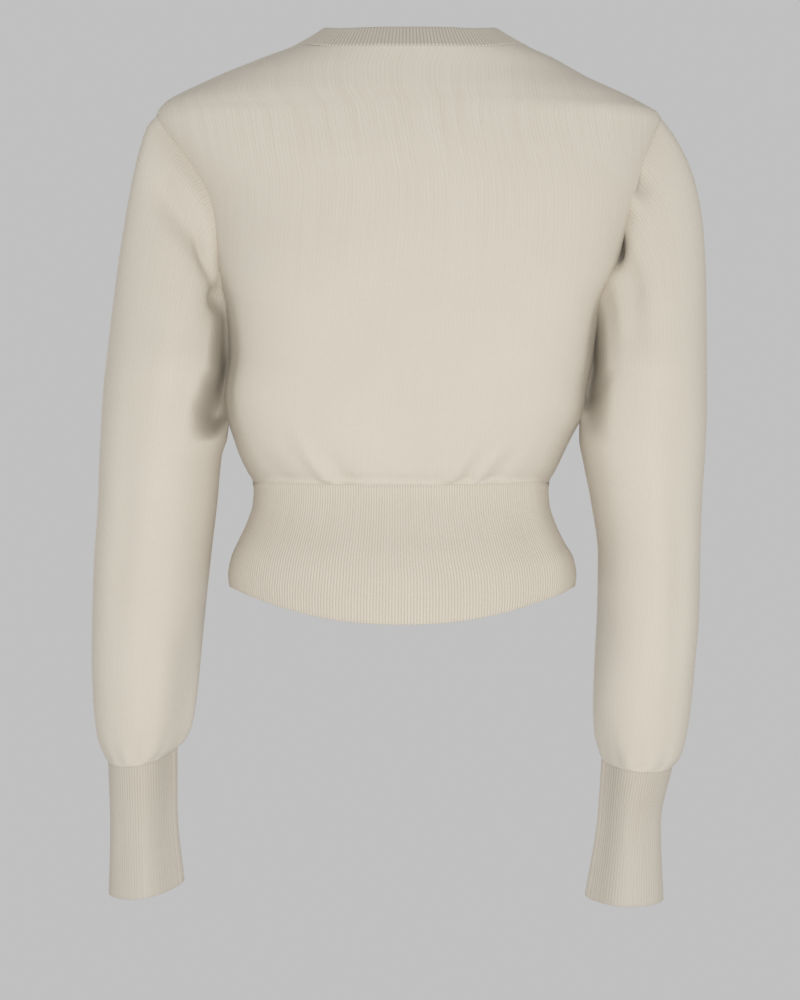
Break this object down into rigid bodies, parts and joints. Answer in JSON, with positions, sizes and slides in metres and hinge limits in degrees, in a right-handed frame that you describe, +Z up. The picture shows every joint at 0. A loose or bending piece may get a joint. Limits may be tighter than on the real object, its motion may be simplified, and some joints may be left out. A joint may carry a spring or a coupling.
{
  "type": "cardigan",
  "caption": "Cropped fine-knit cardigan in its worn, hollow form: long full sleeves gathered into deep rib cuffs, a flared deep rib hem, a ribbed round neck and a buttoned front.",
  "frame": {"origin": "between the two neck points of the shoulders, at the height of the back neck seam, where the wearer holds the cardigan up", "axes": "+Z is up, the buttoned front faces -Y, the back faces +Y, and the wearer's left sleeve is on +X"},
  "size_m": [0.5295, 0.2361, 0.7543],
  "materials": {
    "jersey": "matte fine knit",
    "rib": "matte rib knit",
    "button": "soft gloss"
  },
  "bodies": {
    "root": {"back": "jersey", "left_front": "jersey", "right_front": "jersey", "left_sleeve": "jersey", "right_sleeve": "jersey", "left_cuff": "rib", "right_cuff": "rib", "back_rib": "rib", "left_front_rib": "rib", "right_front_rib": "rib", "neckband": "rib", "left_placket": "jersey", "right_placket": "jersey", "button_1": "button", "button_2": "button", "button_3": "button", "button_4": "button", "button_5": "button", "button_6": "button", "button_7": "button"}
  },
  "joints": []
}
